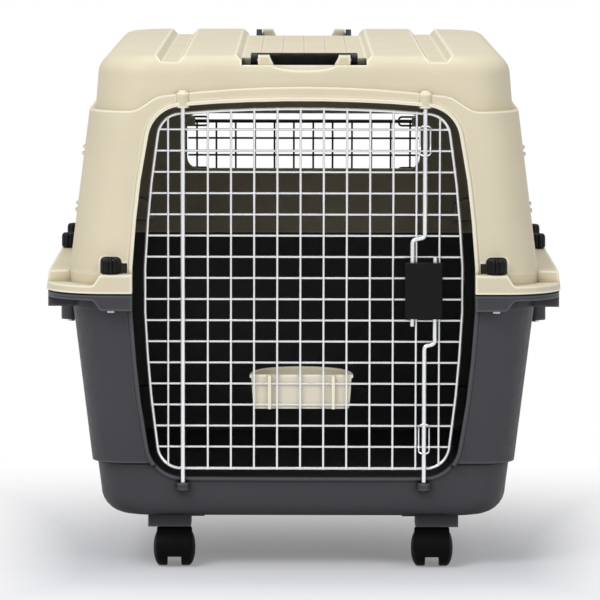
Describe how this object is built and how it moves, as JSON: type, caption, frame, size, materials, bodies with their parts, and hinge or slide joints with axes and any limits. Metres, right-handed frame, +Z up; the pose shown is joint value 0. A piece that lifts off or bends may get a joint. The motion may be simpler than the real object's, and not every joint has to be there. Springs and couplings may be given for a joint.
{
  "type": "pet travel crate",
  "caption": "Two-part moulded pet travel crate with a wire door, squeeze latch, feed bowl, fold-down carry handles, vent grilles and twin-wheel castors.",
  "frame": {"origin": "on the floor, under the middle of the crate", "axes": "+Z up, -Y out of the door end, +X to the right of someone who faces the door"},
  "size_m": [0.56, 0.8, 0.56],
  "materials": {
    "cream_plastic": "fine satin moulded texture",
    "grey_plastic": "fine satin moulded texture",
    "black_plastic": "satin",
    "zinc_wire": "bright zinc plate",
    "steel": "drawn"
  },
  "bodies": {
    "crate": {"top_shell": "cream_plastic", "base_shell": "grey_plastic", "rear_grille": "zinc_wire", "left_side_grille": "zinc_wire", "right_side_grille": "zinc_wire", "front_handle_left_pin": "steel", "front_handle_right_pin": "steel", "rear_handle_left_pin": "steel", "rear_handle_right_pin": "steel", "front_left_knob": "black_plastic", "front_right_knob": "black_plastic", "rear_left_knob": "black_plastic", "rear_right_knob": "black_plastic", "left_front_knob": "black_plastic", "left_rear_knob": "black_plastic", "right_front_knob": "black_plastic", "right_rear_knob": "black_plastic", "front_left_bolt": "steel", "front_right_bolt": "steel", "rear_left_bolt": "steel", "rear_right_bolt": "steel", "left_front_bolt": "steel", "left_rear_bolt": "steel", "right_front_bolt": "steel", "right_rear_bolt": "steel", "front_left_castor_plate": "black_plastic", "front_right_castor_plate": "black_plastic", "rear_left_castor_plate": "black_plastic", "rear_right_castor_plate": "black_plastic"},
    "door": {"door_grid": "zinc_wire", "hinge_rod": "zinc_wire", "latch_case": "black_plastic", "latch_back": "black_plastic", "upper_latch_spring": "steel", "lower_latch_spring": "steel", "upper_rod_guide": "zinc_wire", "lower_rod_guide": "zinc_wire"},
    "upper_latch": {"upper_latch_rod": "zinc_wire"},
    "lower_latch": {"lower_latch_rod": "zinc_wire"},
    "bowl": {"feed_bowl": "cream_plastic"},
    "front_grip": {"front_handle": "black_plastic"},
    "rear_grip": {"rear_handle": "black_plastic"},
    "front_left_castor_fork": {"front_left_castor_hood": "black_plastic", "front_left_castor_axle": "steel"},
    "front_left_castor_left_roller": {"front_left_castor_left_wheel": "black_plastic"},
    "front_left_castor_right_roller": {"front_left_castor_right_wheel": "black_plastic"},
    "front_right_castor_fork": {"front_right_castor_hood": "black_plastic", "front_right_castor_axle": "steel"},
    "front_right_castor_left_roller": {"front_right_castor_left_wheel": "black_plastic"},
    "front_right_castor_right_roller": {"front_right_castor_right_wheel": "black_plastic"},
    "rear_left_castor_fork": {"rear_left_castor_hood": "black_plastic", "rear_left_castor_axle": "steel"},
    "rear_left_castor_left_roller": {"rear_left_castor_left_wheel": "black_plastic"},
    "rear_left_castor_right_roller": {"rear_left_castor_right_wheel": "black_plastic"},
    "rear_right_castor_fork": {"rear_right_castor_hood": "black_plastic", "rear_right_castor_axle": "steel"},
    "rear_right_castor_left_roller": {"rear_right_castor_left_wheel": "black_plastic"},
    "rear_right_castor_right_roller": {"rear_right_castor_right_wheel": "black_plastic"}
  },
  "joints": [
    {"name": "door_hinge", "type": "hinge", "parent": "crate", "child": "door", "pos_m": [-0.131, -0.3625, 0.305], "axis": [0, 0, -1], "range_deg": [0, 135]},
    {"name": "upper_latch_slide", "type": "slide", "parent": "door", "child": "upper_latch", "axis": [0, 0, 1], "range_m": [0, 0.0075], "deforming": ["upper_latch_spring"]},
    {"name": "lower_latch_slide", "type": "slide", "parent": "door", "child": "lower_latch", "axis": [0, 0, -1], "range_m": [0, 0.0075], "deforming": ["lower_latch_spring"]},
    {"name": "bowl_lift", "type": "slide", "parent": "door", "child": "bowl", "axis": [0, 0, 1], "range_m": [0, 0.0115]},
    {"name": "front_handle_hinge", "type": "hinge", "parent": "crate", "child": "front_grip", "pos_m": [0, -0.336, 0.5532], "axis": [1, 0, 0], "range_deg": [-13, 90]},
    {"name": "rear_handle_hinge", "type": "hinge", "parent": "crate", "child": "rear_grip", "pos_m": [0, 0.336, 0.5532], "axis": [-1, 0, 0], "range_deg": [0, 103]},
    {"name": "front_left_castor_swivel", "type": "hinge", "parent": "crate", "child": "front_left_castor_fork", "pos_m": [-0.141, -0.317, 0.02], "axis": [0, 0, 1], "continuous": true},
    {"name": "front_left_castor_left_roll", "type": "hinge", "parent": "front_left_castor_fork", "child": "front_left_castor_left_roller", "pos_m": [-0.141, -0.331, 0.02], "axis": [1, 0, 0], "continuous": true},
    {"name": "front_left_castor_right_roll", "type": "hinge", "parent": "front_left_castor_fork", "child": "front_left_castor_right_roller", "pos_m": [-0.141, -0.331, 0.02], "axis": [1, 0, 0], "continuous": true},
    {"name": "front_right_castor_swivel", "type": "hinge", "parent": "crate", "child": "front_right_castor_fork", "pos_m": [0.141, -0.317, 0.02], "axis": [0, 0, 1], "continuous": true},
    {"name": "front_right_castor_left_roll", "type": "hinge", "parent": "front_right_castor_fork", "child": "front_right_castor_left_roller", "pos_m": [0.141, -0.331, 0.02], "axis": [1, 0, 0], "continuous": true},
    {"name": "front_right_castor_right_roll", "type": "hinge", "parent": "front_right_castor_fork", "child": "front_right_castor_right_roller", "pos_m": [0.141, -0.331, 0.02], "axis": [1, 0, 0], "continuous": true},
    {"name": "rear_left_castor_swivel", "type": "hinge", "parent": "crate", "child": "rear_left_castor_fork", "pos_m": [-0.141, 0.317, 0.02], "axis": [0, 0, 1], "continuous": true},
    {"name": "rear_left_castor_left_roll", "type": "hinge", "parent": "rear_left_castor_fork", "child": "rear_left_castor_left_roller", "pos_m": [-0.141, 0.331, 0.02], "axis": [1, 0, 0], "continuous": true},
    {"name": "rear_left_castor_right_roll", "type": "hinge", "parent": "rear_left_castor_fork", "child": "rear_left_castor_right_roller", "pos_m": [-0.141, 0.331, 0.02], "axis": [1, 0, 0], "continuous": true},
    {"name": "rear_right_castor_swivel", "type": "hinge", "parent": "crate", "child": "rear_right_castor_fork", "pos_m": [0.141, 0.317, 0.02], "axis": [0, 0, 1], "continuous": true},
    {"name": "rear_right_castor_left_roll", "type": "hinge", "parent": "rear_right_castor_fork", "child": "rear_right_castor_left_roller", "pos_m": [0.141, 0.331, 0.02], "axis": [1, 0, 0], "continuous": true},
    {"name": "rear_right_castor_right_roll", "type": "hinge", "parent": "rear_right_castor_fork", "child": "rear_right_castor_right_roller", "pos_m": [0.141, 0.331, 0.02], "axis": [1, 0, 0], "continuous": true}
  ]
}
